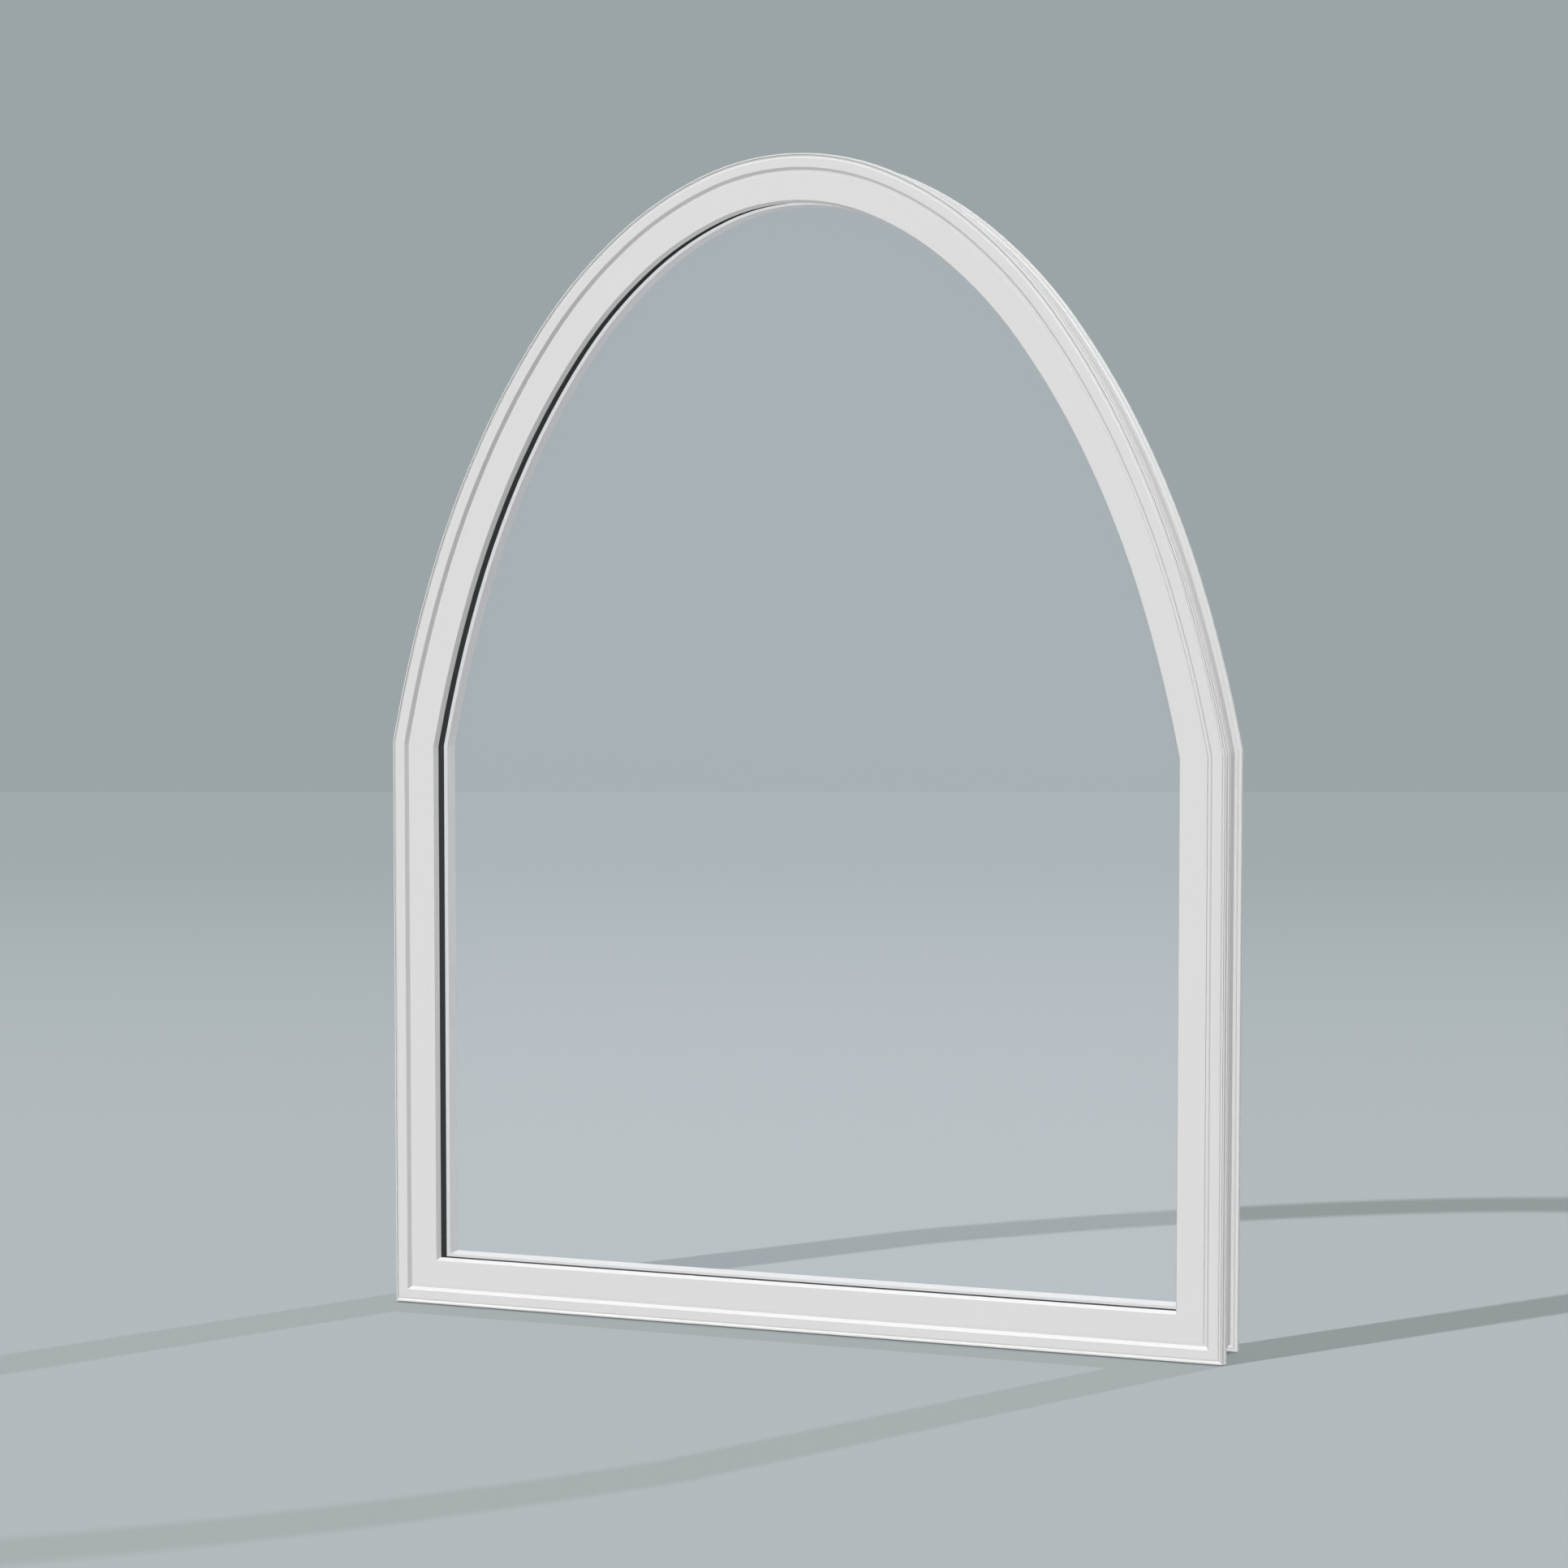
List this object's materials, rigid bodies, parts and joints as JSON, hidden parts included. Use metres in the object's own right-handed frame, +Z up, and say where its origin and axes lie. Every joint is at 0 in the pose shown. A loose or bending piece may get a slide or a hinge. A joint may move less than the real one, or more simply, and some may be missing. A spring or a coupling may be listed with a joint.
{
  "type": "arched top window",
  "caption": "Fixed white vinyl window with an oval arched top: moulded outer frame with a back flange, fixed sash, glazing stops and a sealed glass unit.",
  "frame": {"origin": "on the floor plane, under the middle of the frame's width and depth", "axes": "+Z up, -Y out of the moulded front face, +X to the right seen from the front"},
  "size_m": [0.914, 0.076, 1.2204],
  "materials": {
    "frame_vinyl": "smooth satin white",
    "sash_vinyl": "smooth satin white",
    "stop_vinyl": "smooth satin white",
    "glass": "clear float glass",
    "spacer": "matt black",
    "gasket": "matt black",
    "setting_block": "matt black"
  },
  "bodies": {
    "root": {"frame_sill": "frame_vinyl", "frame_left_jamb": "frame_vinyl", "frame_right_jamb": "frame_vinyl", "frame_arched_head": "frame_vinyl", "sash_bottom_rail": "sash_vinyl", "sash_left_stile": "sash_vinyl", "sash_right_stile": "sash_vinyl", "sash_arched_rail": "sash_vinyl", "bottom_stop": "stop_vinyl", "left_stop": "stop_vinyl", "right_stop": "stop_vinyl", "arched_stop": "stop_vinyl", "front_pane": "glass", "rear_pane": "glass", "bottom_spacer": "spacer", "left_spacer": "spacer", "right_spacer": "spacer", "arched_spacer": "spacer", "bottom_front_gasket": "gasket", "left_front_gasket": "gasket", "right_front_gasket": "gasket", "arched_front_gasket": "gasket", "bottom_rear_gasket": "gasket", "left_rear_gasket": "gasket", "right_rear_gasket": "gasket", "arched_rear_gasket": "gasket", "left_setting_block": "setting_block", "right_setting_block": "setting_block"}
  },
  "joints": []
}
